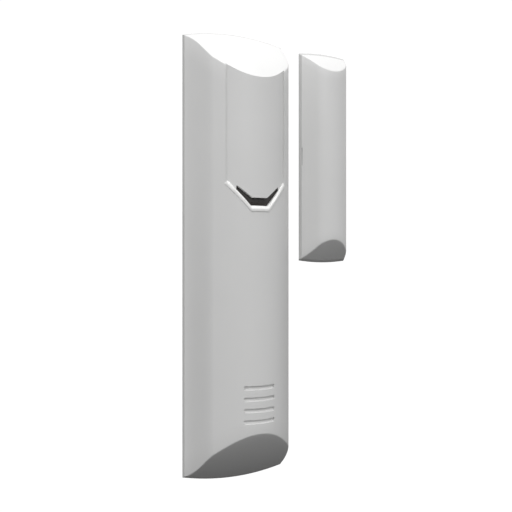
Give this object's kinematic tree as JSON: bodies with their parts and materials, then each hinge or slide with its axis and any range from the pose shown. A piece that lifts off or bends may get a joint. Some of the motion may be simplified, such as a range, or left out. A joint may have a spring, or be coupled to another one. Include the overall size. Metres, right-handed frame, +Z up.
{
  "type": "door contact sensor",
  "caption": "Slim domed wireless door contact with chevron light window, snap-off cover over board and cell, and a separate magnet unit beside it.",
  "frame": {"origin": "on the sensor's flat back face, midway between its two screw holes, on the wall plane", "axes": "+Z up along the sensor, +Y into the wall, so the fronts face -Y, +X from the sensor towards the magnet unit"},
  "size_m": [0.0515, 0.0205, 0.1278],
  "materials": {
    "base_plastic": "fine matte moulded",
    "cover_plastic": "fine matte moulded",
    "light_guide_plastic": "translucent white",
    "smoked_plastic": "smoked translucent",
    "board_laminate": "green solder mask",
    "screw_steel": "zinc plated",
    "led_resin": "clear resin",
    "reed_glass": "clear greenish glass",
    "tinned_metal": "tin plated",
    "black_resin": "moulded epoxy",
    "tan_ceramic": "fired ceramic",
    "copper_wire": "enamelled copper",
    "cell_steel": "nickel plated",
    "cell_sleeve": "plain shrink film",
    "contact_metal": "nickel plated spring metal",
    "lead_insulation": "soft vinyl",
    "switch_stem": "natural nylon",
    "button_plastic": "moulded red",
    "magnet_metal": "nickel plated magnet",
    "foam": "closed cell foam"
  },
  "bodies": {
    "sensor": {"sensor_base": "base_plastic", "circuit_board": "board_laminate", "board_screws": "screw_steel", "status_leds": "led_resin", "reed_glass": "reed_glass", "reed_blades": "tinned_metal", "microcontroller": "black_resin", "radio_can": "tinned_metal", "crystal": "tinned_metal", "chip_capacitors": "tan_ceramic", "chip_resistors": "black_resin", "antenna_wire": "copper_wire", "battery_can": "cell_steel", "battery_sleeve": "cell_sleeve", "battery_cap": "cell_steel", "positive_contact": "contact_metal", "negative_contact": "contact_metal", "battery_lead": "lead_insulation", "tamper_body": "black_resin", "tamper_spring": "contact_metal", "button_body": "black_resin"},
    "cover": {"sensor_cover": "cover_plastic", "light_guide": "light_guide_plastic", "indicator_window": "smoked_plastic"},
    "tamper": {"tamper_plunger": "switch_stem"},
    "learn_button": {"button_cap": "button_plastic"},
    "magnet_unit": {"magnet_base": "base_plastic", "magnet_bar": "magnet_metal", "magnet_cushion": "foam"},
    "magnet_lid": {"magnet_cover": "cover_plastic"}
  },
  "joints": [
    {"name": "cover_lift", "type": "slide", "parent": "sensor", "child": "cover", "axis": [0, -1, 0], "range_m": [0, 0.03]},
    {"name": "tamper_release", "type": "slide", "parent": "sensor", "child": "tamper", "axis": [0, -1, 0], "range_m": [0, 0.001]},
    {"name": "learn_press", "type": "slide", "parent": "sensor", "child": "learn_button", "axis": [0, 1, 0], "range_m": [0, 0.00025], "stiffness_N_per_m": 400},
    {"name": "door_travel", "type": "slide", "parent": "sensor", "child": "magnet_unit", "axis": [1, 0, 0], "range_m": [0, 0.06]},
    {"name": "magnet_cover_lift", "type": "slide", "parent": "magnet_unit", "child": "magnet_lid", "axis": [0, -1, 0], "range_m": [0, 0.015]}
  ],
  "couplings": [
    {"joint": "tamper_release", "follows": "cover_lift", "ratio": 0.033}
  ]
}
